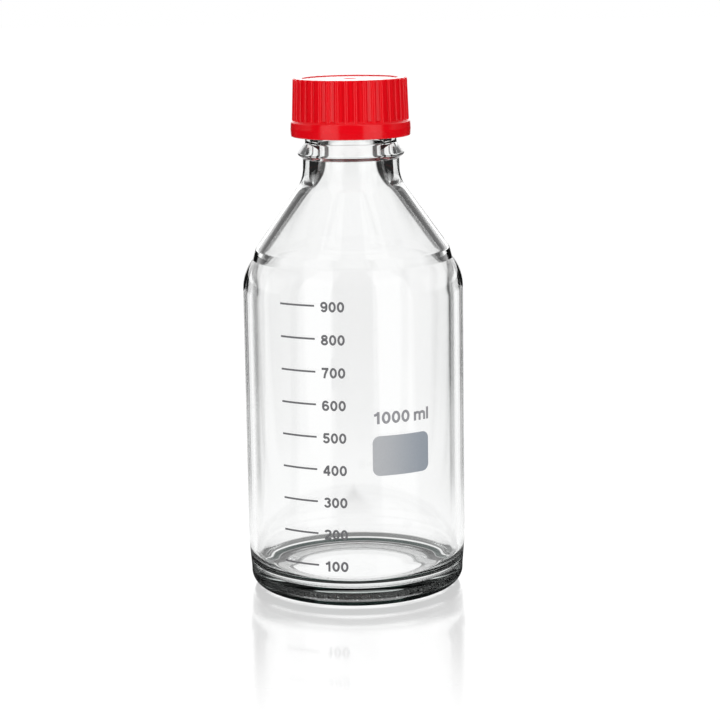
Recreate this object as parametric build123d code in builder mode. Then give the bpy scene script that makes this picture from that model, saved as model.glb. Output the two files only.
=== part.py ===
"""Round one-litre laboratory bottle: glass body, pouring ring, seal disc and ribbed screw cap.

The frame has +Z up the bottle's axis, with the origin at the centre of the foot, on the bench.
All sizes are in millimetres. Heights run down from the lip: the cap hangs from the seal on it,
and the threads, the bead and the shoulder follow the cap's foot.
"""

from build123d import *
from math import atan2, cos, pi, radians, sin, tan
import os

os.makedirs("parts", exist_ok=True)

# Glass body
body_diameter = 101
wall = 3.7
glass_height = 229
floor_thickness = 4.2
inner_heel_radius = 11

# Foot: a contact ring round a raised centre panel
foot_ring_width = 8.9
foot_ring_bevel = 1.5
foot_groove_rise = 1.2
foot_ring_round = 1
panel_inset = 20
panel_rise = 3.2
panel_step = 1.6
panel_round = 0.8
heel_draft = 1.1
heel_radius = 6.2
heel_flat = 1.6
heel_height = 21
heel_blend_radius = 8
side_blend_radius = 40

# Shoulder: a round, a short upright land, then a straight cone up to the neck
cone_angle = 35.6
land_inset = 6.1
land_height = 4.7
land_draft = 1.2
land_foot_round = 0.5
land_top_round = 2
shoulder_radius = 21.5
shoulder_rise = 6.3
shoulder_wall = 4.2
inner_shoulder_radius = 20

# Neck, with a bead below the cap
neck_step = 1.2
neck_length = 9.6
neck_root_radius = 17
inner_neck_radius = 20
bead_gap = 3
bead_height = 7
bead_flank = 1.96
bead_projection = 2.6
bead_root_round = 0.8
bead_round = 1
bead_top_round = 1.5
bore_diameter = 30

# Lip, above the thread
lip_inset = 0.7
lip_height = 3.6
lip_round = 1.4
lip_foot_round = 0.3

# Screw thread
thread_core_diameter = 41.6
thread_depth = 1.35
thread_pitch = 4
thread_root_width = 2.3
thread_crest_width = 0.9
thread_rise = 4.15
neck_thread_turns = 1.75
cap_thread_turns = 1.5
thread_clearance = 0.4
flank_clearance = 0.25
thread_sink = 0.35
thread_sections = 14
thread_fade_turns = 0.25
thread_end_height = 0.05

# Pouring ring, clipped over the lip
ring_thickness = 0.8
ring_clearance = 0.1
ring_sleeve_depth = 4.5
ring_skirt_depth = 2.4
ring_inner_round = 0.3
ring_outer_round = 0.5

# Seal disc
seal_thickness = 1.8
seal_clearance = 0.5

# Screw cap
cap_height = 26
cap_roof = 2.4
cap_wall = 2.25
cap_edge_round = 0.9
cap_rim_width = 3
cap_dish_depth = 0.4
gate_diameter = 6
gate_depth = 0.5
lead_in = 0.8
grip_flare = 0.7
rib_count = 38
rib_depth = 1
rib_radius = 1.25
band_wall = 4.75
band_height = 6.6
band_shoulder = 1.6
band_bulge = 0.25
band_edge_round = 0.5

# Radii that follow from the sizes above
body_radius = body_diameter / 2
inner_radius = body_radius - wall
heel_side_radius = body_radius - heel_draft
foot_inner_radius = heel_side_radius - foot_ring_width
panel_radius = body_radius - panel_inset
cone_foot_radius = body_radius - land_inset
land_foot_radius = cone_foot_radius + land_draft
bore_radius = bore_diameter / 2
core_radius = thread_core_diameter / 2
crest_radius = core_radius + thread_depth
neck_radius = core_radius + neck_step
bead_radius = neck_radius + bead_projection
lip_radius = core_radius - lip_inset
lip_edge_round = min(lip_round, (lip_radius - bore_radius) * 0.4)
cap_bore_radius = crest_radius + thread_clearance
cap_crest_radius = core_radius + thread_clearance

# Heights of the cap, which hangs from the lip
seal_level = glass_height + ring_thickness
roof_level = seal_level + seal_thickness
cap_top = roof_level + cap_roof
cap_foot = cap_top - cap_height

# Heights of the glass below the cap
thread_offset = (thread_root_width + thread_crest_width) / 2 + flank_clearance
cap_thread_start = cap_foot + thread_rise
neck_thread_start = cap_thread_start + thread_offset
lip_foot = glass_height - lip_height
bead_top = cap_foot - bead_gap
bead_foot = bead_top - bead_height
neck_corner = bead_foot - neck_length
cone_slope = tan(radians(cone_angle))
cone_foot = neck_corner - (cone_foot_radius - neck_radius) / cone_slope
land_foot = cone_foot - land_height
shoulder_corner = land_foot - shoulder_rise
floor_level = panel_rise + floor_thickness

# The inside of the cone lies shoulder_wall behind the outside
inner_cone_foot_radius = cone_foot_radius - shoulder_wall / cos(radians(cone_angle))
inner_shoulder = cone_foot - (inner_radius - inner_cone_foot_radius) / cone_slope
inner_neck_corner = cone_foot + (inner_cone_foot_radius - bore_radius) / cone_slope


def half_section(corners):
    """A closed outline of (radius, height, corner round) points, on the XZ plane, ready to revolve."""
    with BuildSketch(Plane.XZ) as section:
        with BuildLine():
            FilletPolyline(
                *[(radius, height) for radius, height, _ in corners],
                radius=[corner_round for _, _, corner_round in corners],
                close=True,
            )
        make_face()
    return section.sketch


def thread_ridge(root_radius, depth, start, turns):
    """A right-hand helical ridge that rises from root_radius by depth, inwards where depth is negative.

    The ridge sinks a little into the wall that carries it, and fades into that wall at both ends.
    """
    outward = 1 if depth > 0 else -1
    sunk = -thread_sink * outward
    with BuildLine() as path:
        Helix(thread_pitch, thread_pitch * turns, root_radius, center=(0, 0, start))
    sections = []
    for section_number in range(thread_sections + 1):
        share = section_number / thread_sections
        fade = min(1, min(share, 1 - share) * turns / thread_fade_turns)
        height = thread_end_height + (1 - thread_end_height) * (1 - cos(pi * fade)) / 2
        place = path.line @ share
        along = path.line % share
        across = Vector(place.X, place.Y, 0).normalized()
        with BuildSketch(Plane(origin=place, x_dir=across, z_dir=along)) as section:
            with BuildLine():
                Polyline(
                    (sunk, -thread_root_width / 2),
                    (depth * height, -thread_crest_width / 2),
                    (depth * height, thread_crest_width / 2),
                    (sunk, thread_root_width / 2),
                    close=True,
                )
            make_face()
        sections.append(section.sketch.face())
    return sweep(sections, path=path.line, multisection=True, is_frenet=True, mode=Mode.PRIVATE)


# Bottle: one piece of blown glass, its outside run up from the foot and its inside back down
with BuildPart() as bottle:
    bottle_section = half_section(
        [
            (0, panel_rise, 0),
            (panel_radius, panel_rise, panel_round),
            (panel_radius + panel_step, panel_rise - panel_step, panel_round),
            (foot_inner_radius - foot_ring_bevel, foot_groove_rise, foot_ring_round),
            (foot_inner_radius, 0, panel_round),
            (heel_side_radius, 0, heel_radius),
            (heel_side_radius, heel_radius + heel_flat, heel_blend_radius),
            (body_radius, heel_height, side_blend_radius),
            (body_radius, shoulder_corner, shoulder_radius),
            (land_foot_radius, land_foot, land_foot_round),
            (cone_foot_radius, cone_foot, land_top_round),
            (neck_radius, neck_corner, neck_root_radius),
            (neck_radius, bead_foot, bead_root_round),
            (bead_radius, bead_foot + bead_flank, bead_round),
            (core_radius, bead_top, bead_top_round),
            (core_radius, lip_foot, lip_foot_round),
            (lip_radius, lip_foot, lip_foot_round),
            (lip_radius, glass_height, lip_edge_round),
            (bore_radius, glass_height, lip_edge_round),
            (bore_radius, inner_neck_corner, inner_neck_radius),
            (inner_radius, inner_shoulder, inner_shoulder_radius),
            (inner_radius, floor_level, inner_heel_radius),
            (0, floor_level, 0),
        ]
    )
    revolve(bottle_section, axis=Axis.Z)
    add(thread_ridge(core_radius, thread_depth, neck_thread_start, neck_thread_turns))

# Pouring ring: a thin moulding with a sleeve down the bore and a skirt over the lip
ring_sleeve_radius = bore_radius - ring_clearance
ring_skirt_radius = lip_radius + ring_clearance
ring_bore_radius = ring_sleeve_radius - ring_thickness
ring_outer_radius = ring_skirt_radius + ring_thickness
ring_sleeve_foot = glass_height - ring_sleeve_depth
ring_skirt_foot = glass_height - ring_skirt_depth

with BuildPart() as pouring_ring:
    ring_section = half_section(
        [
            (ring_bore_radius, seal_level, ring_inner_round),
            (ring_bore_radius, ring_sleeve_foot, 0),
            (ring_sleeve_radius, ring_sleeve_foot, 0),
            (ring_sleeve_radius, glass_height, lip_edge_round),
            (ring_skirt_radius, glass_height, lip_edge_round),
            (ring_skirt_radius, ring_skirt_foot, 0),
            (ring_outer_radius, ring_skirt_foot, ring_inner_round),
            (ring_outer_radius, seal_level, ring_outer_round),
        ]
    )
    revolve(ring_section, axis=Axis.Z)

# Seal disc: lies on the pouring ring, under the cap's roof
with BuildPart() as cap_seal:
    with BuildSketch(Plane.XY.offset(seal_level)):
        Circle(cap_bore_radius - seal_clearance)
    extrude(amount=seal_thickness)


# Screw cap: half-round ribs on a coned grip, over a smooth band, bored out, with the thread ridge inside
rib_foot = cap_foot + band_height
band_radius = cap_bore_radius + band_wall
grip_top_radius = cap_bore_radius + cap_wall
grip_foot_radius = grip_top_radius + grip_flare
grip_draft = atan2(grip_flare, cap_top - rib_foot)

# One rib leans with the grip, and runs past both ends of it
rib_start = (grip_foot_radius + rib_depth - rib_radius, 0, rib_foot)
rib_lean = (-sin(grip_draft), 0, cos(grip_draft))
with BuildPart() as rib:
    with BuildSketch(Plane(origin=rib_start, z_dir=rib_lean)):
        Circle(rib_radius)
    extrude(amount=cap_height, both=True)

with BuildPart() as screw_cap:
    grip_section = half_section(
        [
            (0, rib_foot, 0),
            (grip_foot_radius, rib_foot, 0),
            (grip_top_radius, cap_top, 0),
            (0, cap_top, 0),
        ]
    )
    revolve(grip_section, axis=Axis.Z)
    with PolarLocations(0, rib_count):
        add(rib.part)
    envelope_section = half_section(
        [
            (0, rib_foot, 0),
            (band_radius, rib_foot, 0),
            (grip_top_radius + rib_depth, cap_top, cap_edge_round),
            (0, cap_top, 0),
        ]
    )
    revolve(envelope_section, axis=Axis.Z, mode=Mode.INTERSECT)
    band_section = half_section(
        [
            (0, cap_foot, 0),
            (band_radius - band_bulge, cap_foot, band_edge_round),
            (band_radius, cap_foot + band_height / 2, band_height),
            (band_radius - band_bulge, rib_foot, band_edge_round),
            (grip_foot_radius - band_bulge, rib_foot + band_shoulder, 0),
            (0, rib_foot + band_shoulder, 0),
        ]
    )
    revolve(band_section, axis=Axis.Z)
    with BuildSketch(Plane.XY.offset(cap_top)):
        Circle(grip_top_radius - cap_rim_width)
    extrude(amount=-cap_dish_depth, mode=Mode.SUBTRACT)
    with BuildSketch(Plane.XY.offset(cap_top - cap_dish_depth)):
        Circle(gate_diameter / 2)
    extrude(amount=-gate_depth, mode=Mode.SUBTRACT)
    bore_section = half_section(
        [
            (0, cap_foot, 0),
            (cap_bore_radius + lead_in, cap_foot, 0),
            (cap_bore_radius, cap_foot + lead_in, 0),
            (cap_bore_radius, roof_level, 0),
            (0, roof_level, 0),
        ]
    )
    revolve(bore_section, axis=Axis.Z, mode=Mode.SUBTRACT)
    cap_thread_depth = cap_crest_radius - cap_bore_radius
    add(thread_ridge(cap_bore_radius, cap_thread_depth, cap_thread_start, cap_thread_turns))

for piece, name in (
    (bottle, "bottle"),
    (pouring_ring, "pouring_ring"),
    (cap_seal, "cap_seal"),
    (screw_cap, "screw_cap"),
):
    piece.part.label = name
    export_step(piece.part, f"parts/{name}.step")
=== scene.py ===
"""Round laboratory media bottle: a clear glass body with grey enamel print, a pouring ring,
a seal disc and a ribbed red screw cap, standing on a white floor.

Lengths are in metres unless a name or comment says mm. +Z runs up the bottle's axis.
"""

from math import atan2, ceil, cos, hypot, pi, radians, sin

import bpy
from mathutils import Matrix, Vector


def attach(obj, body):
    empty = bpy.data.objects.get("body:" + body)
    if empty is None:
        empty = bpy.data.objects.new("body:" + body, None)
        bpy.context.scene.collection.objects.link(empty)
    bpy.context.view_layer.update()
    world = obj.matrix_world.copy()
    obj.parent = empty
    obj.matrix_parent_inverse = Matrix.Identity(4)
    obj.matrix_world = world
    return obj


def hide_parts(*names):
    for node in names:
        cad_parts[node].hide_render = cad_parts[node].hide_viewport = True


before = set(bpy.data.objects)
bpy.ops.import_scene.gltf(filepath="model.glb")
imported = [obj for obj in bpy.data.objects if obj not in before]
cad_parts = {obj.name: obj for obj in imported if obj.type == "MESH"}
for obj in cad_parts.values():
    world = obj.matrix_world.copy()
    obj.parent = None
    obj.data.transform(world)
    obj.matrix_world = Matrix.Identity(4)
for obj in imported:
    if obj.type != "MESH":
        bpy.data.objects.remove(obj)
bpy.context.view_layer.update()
MM = 0.001


# ---------------------------------------------------------------- node helpers


class Amount:
    """A number that varies over a surface or a beam; sums and products of it add Math nodes."""

    def __init__(self, nodes, socket):
        self.nodes = nodes
        self.socket = socket

    def maths(self, operation, *values):
        node = self.nodes.add("Math", {"operation": operation}, dict(enumerate(values)))
        return Amount(self.nodes, node.outputs[0])

    def __add__(self, other):
        return self.maths("ADD", self, other)

    def __radd__(self, other):
        return self.maths("ADD", other, self)

    def __sub__(self, other):
        return self.maths("SUBTRACT", self, other)

    def __rsub__(self, other):
        return self.maths("SUBTRACT", other, self)

    def __mul__(self, other):
        return self.maths("MULTIPLY", self, other)

    def __rmul__(self, other):
        return self.maths("MULTIPLY", other, self)

    def __truediv__(self, other):
        return self.maths("DIVIDE", self, other)

    def __rtruediv__(self, other):
        return self.maths("DIVIDE", other, self)

    def __pow__(self, other):
        return self.maths("POWER", self, other)

    def __abs__(self):
        return self.maths("ABSOLUTE", self)

    def at_most(self, other):
        return self.maths("MINIMUM", self, other)

    def wrapped(self, top, bottom):
        return self.maths("WRAP", self, top, bottom)

    def ramp(self, start, end):
        """0 at start, 1 at end, with a soft change between; start may be above end."""
        settings = {"interpolation_type": "SMOOTHSTEP", "clamp": True}
        low, high = min(start, end), max(start, end)
        outcome = (0.0, 1.0) if start < end else (1.0, 0.0)
        values = {0: self, 1: low, 2: high, 3: outcome[0], 4: outcome[1]}
        node = self.nodes.add("MapRange", settings, values)
        return Amount(self.nodes, node.outputs[0])


class Nodes:
    """The node tree of a material or the world, with one way to add any node to it."""

    def __init__(self, owner):
        owner.use_nodes = True
        self.tree = owner.node_tree
        self.tree.nodes.clear()

    def add(self, kind, settings=None, values=None):
        node = self.tree.nodes.new("ShaderNode" + kind)
        for name, value in (settings or {}).items():
            setattr(node, name, value)
        for place, value in (values or {}).items():
            if isinstance(value, Amount):
                value = value.socket
            if isinstance(value, bpy.types.NodeSocket):
                self.tree.links.new(value, node.inputs[place])
            else:
                node.inputs[place].default_value = value
        return node

    def amount(self, node, output=0):
        return Amount(self, node.outputs[output])

    def position(self):
        """The place on the piece, in metres, as three amounts and one vector socket."""
        vector = self.add("TexCoord").outputs["Object"]
        parts = self.add("SeparateXYZ", None, {0: vector})
        return vector, *(Amount(self, socket) for socket in parts.outputs)

    def noise(self, vector, scale, detail=3.0, roughness=0.5):
        values = {"Vector": vector, "Scale": scale, "Detail": detail, "Roughness": roughness}
        return self.amount(self.add("TexNoise", None, values), "Fac")

    def colour_mix(self, factor, first, second):
        settings = {"data_type": "RGBA"}
        node = self.add("Mix", settings, {0: factor, 6: first, 7: second})
        return node.outputs[2]

    def bump(self, height, strength, distance):
        values = {"Height": height, "Strength": strength, "Distance": distance}
        return self.add("Bump", None, values).outputs[0]

    def shaders(self, factor, first, second):
        return self.add("MixShader", None, {0: factor, 1: first, 2: second}).outputs[0]

    def finish(self, surface, volume=None):
        kind = "OutputWorld" if isinstance(self.tree.id_data, bpy.types.World) else "OutputMaterial"
        values = {"Surface": surface}
        if volume:
            values["Volume"] = volume
        self.add(kind, None, values)


def linear(red, green, blue):
    """A colour written as 0-255 screen levels, as the linear colour that a shader takes."""
    levels = (level / 255 for level in (red, green, blue))
    return (*(s / 12.92 if s < 0.04045 else ((s + 0.055) / 1.055) ** 2.4 for s in levels), 1.0)


def new_material(name):
    material = bpy.data.materials.new(name)
    return material, Nodes(material)


# ------------------------------------------------------------- shape helpers


def nothing_selected():
    if bpy.context.object and bpy.context.object.mode != "OBJECT":
        bpy.ops.object.mode_set(mode="OBJECT")
    bpy.ops.object.select_all(action="DESELECT")


SMALL_CHORD_ANGLE, CHORD_ANGLE = radians(12), radians(6)
LONGEST_CHORD = 1.5
SHARP_EDGE_ANGLE = radians(35)


def rounded_outline(corners):
    """The points of an open outline of (radius, height, round) corners in mm.

    Each round is cut into short chords.
    """
    points = []
    for index, (radius, height, corner_round) in enumerate(corners):
        corner = Vector((radius, height))
        if corner_round == 0:
            points.append(corner)
            continue
        before = Vector(corners[index - 1][:2])
        after = Vector(corners[index + 1][:2])
        to_before = (before - corner).normalized()
        to_after = (after - corner).normalized()
        opening = to_before.angle(to_after)
        turn = pi - opening
        reach = corner_round / sin(opening / 2)
        centre = corner + (to_before + to_after).normalized() * reach
        tangent = corner_round * cos(opening / 2) / sin(opening / 2)
        first = corner + to_before * tangent - centre
        last = corner + to_after * tangent - centre
        chord_angle = SMALL_CHORD_ANGLE if corner_round < 1 else CHORD_ANGLE
        chords = max(2, ceil(turn / chord_angle), ceil(turn * corner_round / LONGEST_CHORD))
        for step in range(chords + 1):
            share = step / chords
            arm = first * sin((1 - share) * turn) + last * sin(share * turn)
            points.append(centre + arm / sin(turn))
    return points


def with_supports(points, gap=1.0, shortest=6.0):
    """The same points, with one more near each end of a long straight run, so it shades flat."""
    supported = [points[0]]
    for point in points[1:]:
        run = point - supported[-1]
        if run.length > shortest:
            before = supported[-1] + run.normalized() * gap
            supported.append(before)
            supported.append(point - run.normalized() * gap)
        supported.append(point)
    return supported


def turned(name, points, steps):
    """A piece turned from an outline in mm: a vertex extruded along it, then spun round Z."""
    nothing_selected()
    start = points[0]
    bpy.ops.mesh.primitive_plane_add(size=MM, location=(start.x * MM, 0, start.y * MM))
    piece = bpy.context.object
    piece.name = piece.data.name = name
    bpy.ops.object.mode_set(mode="EDIT")
    bpy.ops.mesh.select_all(action="SELECT")
    bpy.ops.mesh.merge(type="CENTER")
    place = start
    for point in points[1:]:
        step = (point - place) * MM
        move = {"value": (step.x, 0, step.y)}
        bpy.ops.mesh.extrude_region_move(TRANSFORM_OT_translate=move)
        place = point
    bpy.ops.mesh.select_all(action="SELECT")
    bpy.ops.mesh.spin(steps=steps, angle=2 * pi, center=(0, 0, 0), axis=(0, 0, 1))
    bpy.ops.mesh.select_all(action="SELECT")
    bpy.ops.mesh.remove_doubles(threshold=1e-6)
    bpy.ops.mesh.normals_make_consistent(inside=False)
    bpy.ops.object.mode_set(mode="OBJECT")
    bpy.ops.object.transform_apply(location=True, rotation=True, scale=True)
    bpy.ops.object.shade_smooth_by_angle(angle=SHARP_EDGE_ANGLE)
    return piece


# -------------------------------------------------------------------- camera

CAMERA_PLACE = (-0.00934, -0.970, 0.28943)
CAMERA_YAW, CAMERA_PITCH, CAMERA_ROLL = radians(-0.709), radians(10.802), 0.01535
LENS, SENSOR_WIDTH = 106.89, 36


def place_camera():
    lens = bpy.data.cameras.new("camera")
    lens.sensor_width = SENSOR_WIDTH
    lens.lens = LENS
    lens.clip_end = 50
    camera = bpy.data.objects.new("camera", lens)
    bpy.context.scene.collection.objects.link(camera)
    bpy.context.scene.camera = camera
    yaw, pitch, roll = CAMERA_YAW, CAMERA_PITCH, CAMERA_ROLL
    ahead = Vector((-sin(yaw) * cos(pitch), cos(yaw) * cos(pitch), -sin(pitch)))
    across = Vector((cos(yaw), sin(yaw), 0))
    above = across.cross(ahead)
    right = across * cos(roll) - above * sin(roll)
    up = above * cos(roll) + across * sin(roll)
    turn = Matrix((right, up, -ahead)).transposed().to_4x4()
    camera.matrix_world = Matrix.Translation(CAMERA_PLACE) @ turn


place_camera()
bpy.context.scene.view_settings.view_transform = "Standard"

# ---------------------------------------------------------------- glass body

# Outline corners as (radius, height, round) in mm, from the raised base out and up to the neck
GLASS_OUTSIDE = [
    (0, 3.2, 0),
    (30.5, 3.2, 0.8),
    (32.1, 1.6, 0.8),
    (39, 1.2, 1),
    (40.5, 0, 0.8),
    (49.4, 0, 6.2),
    (49.4, 7.8, 8),
    (50.5, 21, 40),
    (50.5, 146.11, 21.5),
    (45.6, 152.41, 0.5),
    (44.4, 157.11, 2),
    (22, 188.4, 17),
    (22, 198.0, 0.8),
    (24.6, 199.96, 1),
    (20.8, 205.0, 1.5),
]
# On over the lip and down the inside to the inner floor
GLASS_LIP_AND_INSIDE = [
    (20.8, 225.4, 0.3),
    (20.1, 225.4, 0.3),
    (20.1, 229, 1.4),
    (15, 229, 1.4),
    (15, 190.96, 20),
    (46.8, 146.54, 20),
    (46.8, 7.4, 11),
    (0, 7.4, 0),
]
# Neck thread, in mm unless named for turns
CORE_RADIUS = 20.8
THREAD_START = 214
THREAD_PITCH = 4
THREAD_TURNS = 1.75
THREAD_DEPTH = 1.35
THREAD_HALF_ROOT = 1.15
THREAD_HALF_CREST = 0.45
THREAD_FADE_TURNS = 0.25
THREAD_ROW = 0.28
THREAD_MARGIN = 0.2
TURNING_STEPS = 256


def ridge_height(angle, height):
    """How far the thread stands out of the neck's core at an angle and a height, in mm."""
    tallest = 0
    for whole_turns in range(ceil(THREAD_TURNS) + 1):
        turns = (angle % (2 * pi)) / (2 * pi) + whole_turns
        if not 0 <= turns <= THREAD_TURNS:
            continue
        away = abs(height - THREAD_START - THREAD_PITCH * turns)
        flank = (THREAD_HALF_ROOT - away) / (THREAD_HALF_ROOT - THREAD_HALF_CREST)
        flank = min(1, max(0, flank))
        fade = min(1, min(turns, THREAD_TURNS - turns) / THREAD_FADE_TURNS)
        rise = flank * flank * (3 - 2 * flank) * (1 - cos(pi * fade)) / 2
        tallest = max(tallest, rise * THREAD_DEPTH)
    return tallest


def make_glass_body():
    corners = GLASS_OUTSIDE + GLASS_LIP_AND_INSIDE
    points = with_supports(rounded_outline(corners))
    low = THREAD_START - THREAD_HALF_ROOT - THREAD_MARGIN
    high = THREAD_START + THREAD_PITCH * THREAD_TURNS + THREAD_HALF_ROOT + THREAD_MARGIN
    rows = ceil((high - low) / THREAD_ROW)
    foot = next(i for i, p in enumerate(points) if abs(p.x - CORE_RADIUS) < 1e-6 and p.y < low)
    last_below = max(i for i in range(foot, foot + 4) if points[i].y < low)
    heights = [low + (high - low) * row / rows for row in range(rows + 1)]
    thread_rows = [Vector((CORE_RADIUS, height)) for height in heights]
    points = points[: last_below + 1] + thread_rows + points[last_below + 1 :]
    body = turned("glass_body", points, TURNING_STEPS)
    for vertex in body.data.vertices:
        x, y, z = vertex.co / MM
        radius = hypot(x, y)
        if low < z < high and radius > CORE_RADIUS - 0.1:
            scale = (radius + ridge_height(atan2(y, x), z)) / radius
            vertex.co.x *= scale
            vertex.co.y *= scale
    return body


# Painted shade: the base colour of the thick glass at the heel is darkened nearly to black, as it
# looks from the side
HEEL_PAINTED_SHADE = (0.0006, 0.0022, 0.0017, 1)
GLASS_TINT = (0.45, 0.72, 0.62, 1)
TINT_DENSITY = 2.5
# Where each band of the glass starts and is whole, as radii and heights in metres; the heel bands
# carry painted shade
BASE_RING_INNER, BASE_RING_OUTER = (0.0306, 0.0316), (0.0408, 0.0398)
BASE_RING_TOP = (0.0040, 0.0034)
LOW_HEEL_INNER, LOW_HEEL_TOP = (0.0455, 0.0465), (0.0037, 0.0029)
HIGH_HEEL_INNER, HIGH_HEEL_FOOT, HIGH_HEEL_TOP = (0.047, 0.048), (0.004, 0.0046), (0.0085, 0.0072)
HIGH_HEEL_SHADE_SHARE = 0.95


def clear_glass():
    material, nodes = new_material("clear_glass")
    vector, x, y, z = nodes.position()
    radius = (x * x + y * y) ** 0.5
    base_ring = radius.ramp(*BASE_RING_INNER) * radius.ramp(*BASE_RING_OUTER)
    base_ring = base_ring * z.ramp(*BASE_RING_TOP)
    stipple = nodes.noise(vector, 1400, 1.0)
    skin = nodes.noise(vector, 60, 2.0)
    height = base_ring * stipple * 0.0004 + skin * 0.00001
    # Painted shade: the two heel bands darken the glass's base colour, standing in for the dark the
    # heel shows
    low_heel_shade = z.ramp(*LOW_HEEL_TOP) * radius.ramp(*LOW_HEEL_INNER)
    high_heel_shade = z.ramp(*HIGH_HEEL_FOOT) * z.ramp(*HIGH_HEEL_TOP) * radius.ramp(*HIGH_HEEL_INNER)
    heel_shade = low_heel_shade + high_heel_shade * HIGH_HEEL_SHADE_SHARE
    glass = nodes.add(
        "BsdfPrincipled",
        None,
        {
            "Base Color": nodes.colour_mix(heel_shade, (1, 1, 1, 1), HEEL_PAINTED_SHADE),
            "Roughness": 0.0,
            "IOR": 1.47,
            "Transmission Weight": 1.0,
            "Normal": nodes.bump(height, 1.0, 1.0),
        },
    )
    see_through = nodes.add("BsdfTransparent")
    shadow = nodes.amount(nodes.add("LightPath"), "Is Shadow Ray")
    tint = nodes.add("VolumeAbsorption", None, {"Color": GLASS_TINT, "Density": TINT_DENSITY})
    surface = nodes.shaders(shadow, glass.outputs[0], see_through.outputs[0])
    nodes.finish(surface, tint.outputs[0])
    return material


glass_body = make_glass_body()
glass_body.data.materials.append(clear_glass())
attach(glass_body, "bottle")
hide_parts("bottle")

# -------------------------------------------------------------- enamel print

# Places on the print: angles run round the glass from the front, the rest is in mm
BODY_RADIUS = 50.5
PRINT_RISE = 0.03
PRINT_THICKNESS = 0.05
LINE_LEFT, LINE_RIGHT = radians(-40.2), radians(-20.4)
LINE_HEIGHT = 0.85
FIRST_MARK = 20.4
MARK_STEP = 14.68
NUMBER_LEFT, NUMBER_RIGHT = radians(-17.2), radians(-5.1)
NUMBER_HEIGHT = 4.7
NUMBER_DROP = 0.4
LABEL_LEFT, LABEL_RIGHT = radians(8.4), radians(39.5)
LABEL_BOTTOM, LABEL_TOP = 84.8, 90.3
FIELD_LEFT, FIELD_RIGHT = radians(8.0), radians(39.3)
FIELD_BOTTOM, FIELD_TOP = 61.3, 79.4
FIELD_CORNER = 3.3
STROKE = 0.21
DIGIT_WIDTH = 0.72
CHARACTER_GAP = 0.1


def wrapped_round_glass(piece):
    """Lays a flat piece on the glass wall: x along the print and y up it in mm, z its thickness."""
    for vertex in piece.data.vertices:
        along, height, lift = vertex.co
        angle = along / BODY_RADIUS
        radius = (BODY_RADIUS + PRINT_RISE + lift) * MM
        vertex.co = (radius * sin(angle), -radius * cos(angle), height * MM)
    piece.data.update()


def joined(name, pieces):
    nothing_selected()
    for piece in pieces:
        piece.select_set(True)
    bpy.context.view_layer.objects.active = pieces[0]
    bpy.ops.object.join()
    whole = bpy.context.object
    whole.name = whole.data.name = name
    return whole


def bow(centre_x, centre_y, wide, tall, start, end, steps=18):
    """Points along part of an oval, from one angle to another in degrees (0 right, 90 up)."""
    turns = [radians(start + (end - start) * step / steps) for step in range(steps + 1)]
    return [(centre_x + wide * cos(turn), centre_y + tall * sin(turn)) for turn in turns]


def character(sign):
    """Width of a printed character and the middle lines of its strokes; its height is 1."""
    low = left = STROKE / 2
    high, right = 1 - STROKE / 2, DIGIT_WIDTH - STROKE / 2
    middle = DIGIT_WIDTH / 2
    reach = middle - STROKE / 2
    return {
        "0": (DIGIT_WIDTH, [bow(middle, 0.5, reach, high - 0.5, 90, 450, 36)]),
        "1": (
            0.6,
            [[(0.42, 0), (0.42, 1)], [(0.36, 0.86), (0.3, 0.8), (0.2, 0.75), (0.08, 0.73)]],
        ),
        "2": (
            DIGIT_WIDTH,
            [
                bow(middle, 0.7, reach, high - 0.7, 170, -25)
                + [(0.5, 0.48), (0.28, 0.31), (0.14, 0.17), (0.13, low)],
                [(0.03, low), (0.7, low)],
            ],
        ),
        "3": (
            DIGIT_WIDTH,
            [
                bow(middle, 0.725, reach * 0.92, high - 0.725, 165, -90),
                bow(middle, 0.32, reach, 0.32 - low, 90, -168),
            ],
        ),
        "4": (
            DIGIT_WIDTH,
            [
                [(0.52, 0), (0.52, 1)],
                [(0.46, 0.92), (0.08, 0.33)],
                [(0.01, 0.3), (0.72, 0.3)],
            ],
        ),
        "5": (
            DIGIT_WIDTH,
            [
                [(0.67, high), (0.13, high)],
                [(0.2, high), (0.15, 0.52)],
                bow(middle, 0.34, reach, 0.34 - low, 145, -165),
            ],
        ),
        "6": (
            DIGIT_WIDTH,
            [
                bow(middle, 0.33, reach, 0.33 - low, 90, 450, 30),
                bow(middle, 0.6, reach, high - 0.6, 30, 180) + [(left, 0.5), (left, 0.33)],
            ],
        ),
        "7": (
            DIGIT_WIDTH,
            [[(0.02, high), (0.7, high)], [(0.63, high), (0.48, 0.66), (0.36, 0.38), (0.28, 0)]],
        ),
        "8": (
            DIGIT_WIDTH,
            [
                bow(middle, 0.735, reach * 0.88, high - 0.735, 90, 450, 30),
                bow(middle, 0.3, reach, 0.3 - low, 90, 450, 30),
            ],
        ),
        "9": (
            DIGIT_WIDTH,
            [
                bow(middle, 0.67, reach, high - 0.67, 90, 450, 30),
                bow(middle, 0.4, reach, 0.4 - low, 210, 360) + [(right, 0.5), (right, 0.67)],
            ],
        ),
        "m": (
            1.1,
            [
                [(left, 0), (left, 0.74)],
                bow(0.32, 0.5, 0.225, 0.16, 180, 0) + [(0.545, 0)],
                bow(0.77, 0.5, 0.225, 0.16, 180, 0) + [(0.995, 0)],
            ],
        ),
        "l": (STROKE, [[(left, 0), (left, 1)]]),
        " ": (0.2, []),
    }[sign]


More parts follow.
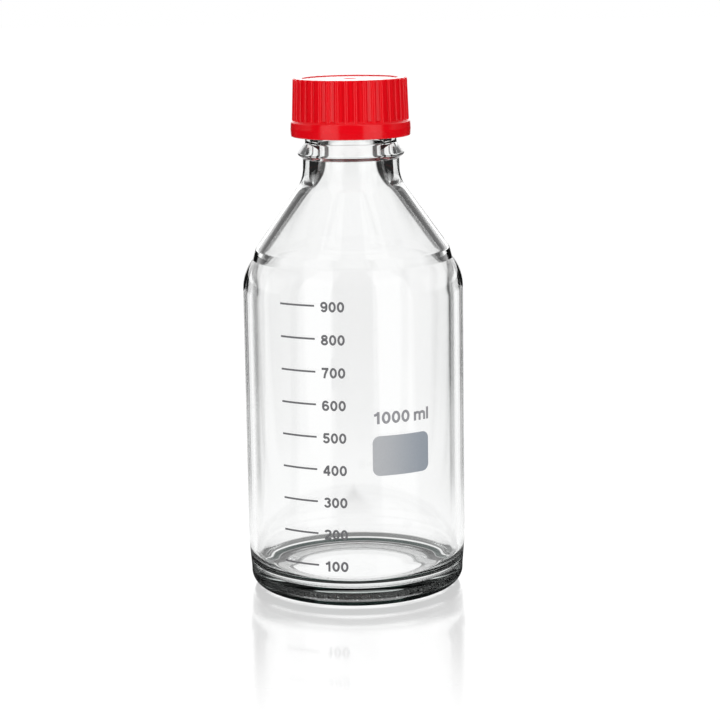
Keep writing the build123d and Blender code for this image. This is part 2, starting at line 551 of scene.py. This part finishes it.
def painted_words(words, left, right, bottom, top):
    """Bold printed characters that fill a place on the print; all in mm, on the flat."""
    whole = sum(character(sign)[0] for sign in words) + CHARACTER_GAP * (len(words) - 1)
    wider, taller = (right - left) / whole, top - bottom
    nothing_selected()
    lines = bpy.data.curves.new("words", "CURVE")
    lines.dimensions = "3D"
    lines.bevel_depth = STROKE / 2
    lines.bevel_resolution = 2
    lines.use_fill_caps = True
    start = 0.0
    for sign in words:
        width, strokes = character(sign)
        for points in strokes:
            closed = len(points) > 30 and abs(points[0][0] - points[-1][0]) < 0.001
            points = points[:-1] if closed else points
            line = lines.splines.new("POLY")
            line.points.add(len(points) - 1)
            for spot, (x, y) in zip(line.points, points):
                spot.co = (start + x, y, 0, 1)
            line.use_cyclic_u = closed
        start += width + CHARACTER_GAP
    piece = bpy.data.objects.new("words", lines)
    bpy.context.scene.collection.objects.link(piece)
    piece.select_set(True)
    bpy.context.view_layer.objects.active = piece
    bpy.ops.object.convert(target="MESH")
    piece = bpy.context.object
    for vertex in piece.data.vertices:
        x, y, z = vertex.co
        flat = PRINT_THICKNESS * (0.5 if z > 0 else -0.5 if z < 0 else 0)
        vertex.co = (left + x * wider, bottom + y * taller, flat)
    return piece


def flat_bar(left, right, bottom, top, corner=0.0, columns=24):
    """A thin flat bar, cut into columns so that it can follow the glass; all in mm."""
    nothing_selected()
    middle = ((left + right) / 2, (bottom + top) / 2, 0)
    bpy.ops.mesh.primitive_cube_add(size=1, location=middle)
    bar = bpy.context.object
    bar.scale = (right - left, top - bottom, PRINT_THICKNESS)
    bpy.ops.object.transform_apply(location=True, rotation=True, scale=True)
    bpy.ops.object.mode_set(mode="EDIT")
    if corner:
        bpy.ops.mesh.select_mode(type="EDGE")
        bpy.ops.mesh.select_all(action="DESELECT")
        bpy.ops.object.mode_set(mode="OBJECT")
        for edge in bar.data.edges:
            ends = [bar.data.vertices[i].co for i in edge.vertices]
            edge.select = abs(ends[0].z - ends[1].z) > PRINT_THICKNESS / 2
        bpy.ops.object.mode_set(mode="EDIT")
        bpy.ops.mesh.bevel(offset=corner, segments=8, affect="EDGES")
    for column in range(1, columns):
        bpy.ops.mesh.select_all(action="SELECT")
        place = left + (right - left) * column / columns
        bpy.ops.mesh.bisect(plane_co=(place, 0, 0), plane_no=(1, 0, 0))
    bpy.ops.object.mode_set(mode="OBJECT")
    return bar


def enamel(name, darker, lighter):
    material, nodes = new_material(name)
    vector, x, y, z = nodes.position()
    mottle = nodes.noise(vector, 900, 4.0, 0.6)
    cloud = nodes.noise(vector, 120, 2.0)
    tone = mottle.ramp(0.2, 0.8) * 0.5 + cloud * 0.5
    colour = nodes.colour_mix(tone, linear(*darker), linear(*lighter))
    surface = nodes.add(
        "BsdfPrincipled",
        None,
        {
            "Base Color": colour,
            "Roughness": 0.55 + mottle * 0.15,
            "Normal": nodes.bump(mottle, 0.15, 0.00003),
        },
    )
    nodes.finish(surface.outputs[0])
    return material


def shaded_pale_enamel():
    material, nodes = new_material("shaded_pale_enamel")
    vector, x, y, z = nodes.position()
    mottle = nodes.noise(vector, 1100, 4.0, 0.6)
    # Painted shade: the field is lighter at its left and darker and bluer at its right, where light
    # falls off round the glass
    shade_across = x.ramp(0.008, 0.033)
    lit_tone = nodes.colour_mix(mottle, linear(168, 170, 173), linear(178, 180, 183))
    shaded_tone = nodes.colour_mix(mottle, linear(140, 148, 158), linear(150, 157, 166))
    surface = nodes.add(
        "BsdfPrincipled",
        None,
        {
            "Base Color": nodes.colour_mix(shade_across, lit_tone, shaded_tone),
            "Roughness": 0.6 + mottle * 0.15,
            "Normal": nodes.bump(mottle, 0.2, 0.00003),
        },
    )
    nodes.finish(surface.outputs[0])
    return material


def make_print():
    dark, pale = enamel("enamel_print", (96, 96, 99), (112, 112, 114)), shaded_pale_enamel()
    grey = enamel("grey_enamel", (138, 138, 142), (152, 152, 156))
    lines, numbers = [], []
    for mark in range(1, 10):
        middle = FIRST_MARK + MARK_STEP * (mark - 1)
        low, high = middle - LINE_HEIGHT / 2, middle + LINE_HEIGHT / 2
        lines.append(flat_bar(LINE_LEFT * BODY_RADIUS, LINE_RIGHT * BODY_RADIUS, low, high))
        low = middle - NUMBER_DROP - NUMBER_HEIGHT / 2
        left, right = NUMBER_LEFT * BODY_RADIUS, NUMBER_RIGHT * BODY_RADIUS
        numbers.append(painted_words(str(mark * 100), left, right, low, low + NUMBER_HEIGHT))
    left, right = LABEL_LEFT * BODY_RADIUS, LABEL_RIGHT * BODY_RADIUS
    label = painted_words("1000 ml", left, right, LABEL_BOTTOM, LABEL_TOP)
    left, right = FIELD_LEFT * BODY_RADIUS, FIELD_RIGHT * BODY_RADIUS
    field = flat_bar(left, right, FIELD_BOTTOM, FIELD_TOP, FIELD_CORNER, 40)
    for name, pieces, material in (
        ("scale_lines", lines, dark),
        ("scale_numbers", numbers, dark),
        ("volume_label", [label], grey),
        ("writing_field", [field], pale),
    ):
        piece = joined(name, pieces)
        wrapped_round_glass(piece)
        piece.data.materials.clear()
        piece.data.materials.append(material)
        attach(piece, "bottle")


make_print()

# ------------------------------------------------------- plastic cap, ring, seal


def cap_plastic():
    material, nodes = new_material("cap_plastic")
    vector, x, y, z = nodes.position()
    cloud = nodes.noise(vector, 90, 3.0)
    grain = nodes.noise(vector, 2600, 2.0)
    colour = nodes.colour_mix(cloud, linear(219, 0, 14), linear(227, 0, 20))
    surface = nodes.add(
        "BsdfPrincipled",
        None,
        {
            "Base Color": colour,
            "Roughness": 0.14 + cloud * 0.05,
            "IOR": 1.5,
            "Normal": nodes.bump(grain, 0.12, 0.00003),
        },
    )
    nodes.finish(surface.outputs[0])
    return material


def ring_plastic():
    material, nodes = new_material("ring_plastic")
    vector, x, y, z = nodes.position()
    cloud = nodes.noise(vector, 200, 3.0)
    surface = nodes.add(
        "BsdfPrincipled",
        None,
        {
            "Base Color": nodes.colour_mix(cloud, linear(205, 10, 30), linear(214, 16, 38)),
            "Roughness": 0.35 + cloud * 0.1,
        },
    )
    nodes.finish(surface.outputs[0])
    return material


def seal_disc():
    material, nodes = new_material("seal_disc")
    vector, x, y, z = nodes.position()
    cloud = nodes.noise(vector, 300, 3.0)
    surface = nodes.add(
        "BsdfPrincipled",
        None,
        {
            "Base Color": nodes.colour_mix(cloud, linear(225, 222, 214), linear(234, 231, 224)),
            "Roughness": 0.5 + cloud * 0.1,
        },
    )
    nodes.finish(surface.outputs[0])
    return material


for node_name, material in (
    ("screw_cap", cap_plastic()),
    ("pouring_ring", ring_plastic()),
    ("cap_seal", seal_disc()),
):
    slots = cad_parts[node_name].data.materials
    slots.clear()
    slots.append(material)

# -------------------------------------------------------------- studio: floor

# What the glass and the cap show of the studio: white panels with dark gaps between them.
# Each is (centre, half width) in degrees, from the front and towards +X.
FRONT_PANELS = ((-42, 18), (43, 19))
FAR_PANELS = ((-42, 18), (43, 19), (180, 16))
# Seen only through the glass, for the look from the side
SIDE_PANELS = ((-90, 19),)
# The same to both sides, from the edge of a strip of floor straight behind the bottle
BACK_PANELS = ((0, 15), (39.5, 13))
STRIP_HALF_WIDTH = 0.045
PANEL_EDGE = 1.5
DARK_SIDE = 0.02
NEAR_SOFTENING = 0.3

# Rings on the floor as radii in metres, where each starts and where it is whole
FAR_FLOOR = (0.9, 1.3)
SOFTER_FLOOR = (0.55, 0.35)
OPEN_FLOOR = (0.26, 0.11)
# Painted shade seen in the glass: dark rings at the foot's contact, round the heel and under the
# base
CONTACT_SHADE_RING = (0.0425, 0.0435), (0.0475, 0.0465)
HEEL_SHADE = (0.0395, 0.0415), (0.1, 0.07)
UNDER_BASE_SHADE = (0.029, 0.032), (0.0415, 0.0395)
PAINTED_SHADE_SHARE, UNDER_SHADE_SHARE = 0.97, 0.12
SHEEN_SPREAD = (0.23, 0.045)
SHEEN, SHEEN_ROUGHNESS = 0.42, 0.1
FLOOR_SIZE = 16
FLOOR_DROP = 0.02
FLOOR_WHITE = 1.08
MATT_SHARE = 0.07


def panel_pattern(nodes, azimuth, panels):
    """1 in the directions of the white panels, 0 between them."""
    lit = 0.0
    for centre, half in panels:
        away = abs((azimuth - radians(centre)).wrapped(pi, -pi))
        lit = away.ramp(radians(half + PANEL_EDGE), radians(half - PANEL_EDGE)) + lit
    return lit.at_most(1.0)


def floor_ring(distance, ring):
    inner, outer = ring
    return distance.ramp(*inner) * distance.ramp(*outer)


def make_floor():
    nothing_selected()
    bpy.ops.mesh.primitive_plane_add(size=FLOOR_SIZE, location=(0, 0, -FLOOR_DROP * MM))
    sheet = bpy.context.object
    sheet.name = "floor"
    material, nodes = new_material("white_floor")
    vector, x, y, z = nodes.position()
    distance = (x * x + y * y) ** 0.5
    azimuth = x.maths("ARCTAN2", x, 0 - y)
    beyond = abs((azimuth - pi).wrapped(pi, -pi)) - STRIP_HALF_WIDTH / distance
    back = panel_pattern(nodes, beyond, BACK_PANELS)
    near = panel_pattern(nodes, azimuth, FRONT_PANELS) + back
    soft = distance.ramp(*SOFTER_FLOOR) * NEAR_SOFTENING
    near = near.at_most(1.0) * (1 - soft) + soft
    far = panel_pattern(nodes, azimuth, FAR_PANELS)
    out = distance.ramp(*FAR_FLOOR)
    pattern = near * (1 - out) + far * out
    path = nodes.add("LightPath")
    glossy = nodes.amount(path, "Is Glossy Ray")
    through = nodes.amount(path, "Is Transmission Ray")
    pattern = pattern + panel_pattern(nodes, azimuth, SIDE_PANELS) * through
    pattern = pattern.at_most(1.0) * (1 - DARK_SIDE) + DARK_SIDE
    clear = distance.ramp(*OPEN_FLOOR)
    pattern = pattern * (1 - clear) + clear
    # Painted shade: dark rings on the floor as the glass shows it, at the foot's contact, round the
    # heel and under the base
    contact_shade = floor_ring(distance, CONTACT_SHADE_RING) * through
    painted_dark = contact_shade + floor_ring(distance, HEEL_SHADE) * (1 - through)
    under_shade = floor_ring(distance, UNDER_BASE_SHADE)
    pattern = pattern * (1 - painted_dark * PAINTED_SHADE_SHARE) * (1 - under_shade * UNDER_SHADE_SHARE)
    seen_in_glass = nodes.add("Emission", None, {"Color": (1, 1, 1, 1), "Strength": pattern})
    straight = nodes.amount(path, "Is Camera Ray")
    white = nodes.add("Emission", None, {"Color": (1, 1, 1, 1), "Strength": FLOOR_WHITE})
    matt = nodes.add("BsdfDiffuse", None, {"Color": (0.8, 0.8, 0.8, 1)})
    mirror_look = {"Color": (1, 1, 1, 1), "Roughness": SHEEN_ROUGHNESS}
    mirror = nodes.add("BsdfGlossy", None, mirror_look)
    paper = nodes.shaders(MATT_SHARE, white.outputs[0], matt.outputs[0])
    sheen = distance.ramp(*SHEEN_SPREAD) * SHEEN
    shown = nodes.shaders(sheen, paper, mirror.outputs[0])
    lit = nodes.shaders(straight, matt.outputs[0], shown)
    nodes.finish(nodes.shaders((glossy + through).at_most(1.0), lit, seen_in_glass.outputs[0]))
    material.cycles.emission_sampling = "NONE"
    sheet.data.materials.append(material)


make_floor()

# -------------------------------------------------------------- studio: light

# Strengths of the room on matt pieces, overhead, and low behind the bottle
ROOM = 0.4
CEILING = 0.25
BACK_GLOW = 1.2
# Where each starts and is whole, as the sine of the height or an angle from straight back
CEILING_EDGE = (0.4, 0.6)
STRIP_FOOT, STRIP_SIDES = (0.02, 0.06), (radians(105), radians(90))
GLOW_FOOT, GLOW_TOP, GLOW_SIDES = (0.02, 0.05), (0.28, 0.2), (radians(60), radians(40))


def make_world():
    world = bpy.data.worlds.new("studio")
    bpy.context.scene.world = world
    nodes = Nodes(world)
    direction = nodes.add("TexCoord").outputs["Generated"]
    x, y, z = (Amount(nodes, s) for s in nodes.add("SeparateXYZ", None, {0: direction}).outputs)
    azimuth = x.maths("ARCTAN2", x, 0 - y)
    panels = panel_pattern(nodes, azimuth, FAR_PANELS) * (1 - DARK_SIDE) + DARK_SIDE
    path = nodes.add("LightPath")
    glossy = nodes.amount(path, "Is Glossy Ray")
    through = nodes.amount(path, "Is Transmission Ray")
    high = z.ramp(*CEILING_EDGE)
    shade_across = panel_pattern(nodes, azimuth, SIDE_PANELS)
    seen_through = (panels + shade_across).at_most(1.0) * (1 - high) + high * CEILING
    from_back = abs((azimuth - pi).wrapped(pi, -pi))
    low_strip = z.ramp(*STRIP_FOOT) * from_back.ramp(*STRIP_SIDES)
    behind = from_back.ramp(*GLOW_SIDES)
    glow = behind * z.ramp(*GLOW_FOOT) * z.ramp(*GLOW_TOP) * BACK_GLOW
    seen_mirrored = panels * (1 - low_strip) + low_strip * (1 - high) + glow + high * CEILING
    straight = nodes.amount(path, "Is Camera Ray")
    diffuse = (1 - (glossy + through + straight).at_most(1.0)) * ROOM
    # A beam through glass also counts as glossy, so it is taken off here
    mirrored = glossy * (1 - through)
    strength = straight + diffuse + through * seen_through + mirrored * seen_mirrored
    light = nodes.add("Background", None, {"Color": (1, 1, 1, 1), "Strength": strength})
    nodes.finish(light.outputs[0])
    world.cycles.sampling_method = "NONE"


make_world()


def soft_lamp(name, place, aim, size, watts):
    lamp = bpy.data.lights.new(name, "AREA")
    lamp.shape = "RECTANGLE"
    lamp.size, lamp.size_y = size
    lamp.energy = watts
    holder = bpy.data.objects.new(name, lamp)
    bpy.context.scene.collection.objects.link(holder)
    holder.location = place
    holder.rotation_mode = "QUATERNION"
    holder.rotation_quaternion = (Vector(aim) - Vector(place)).to_track_quat("-Z", "Y")
    holder.visible_camera = False
    holder.visible_transmission = False
    holder.visible_glossy = False


BODY_MIDDLE = (0, 0, 0.15)
soft_lamp("left_softbox", (-0.9, -0.9, 0.5), BODY_MIDDLE, (0.4, 0.9), 7.5)
soft_lamp("right_softbox", (0.9, -0.9, 0.5), BODY_MIDDLE, (0.4, 0.9), 7.5)
soft_lamp("overhead_softbox", (0, 0, 1.4), (0, 0, 0), (1.0, 1.0), 4)
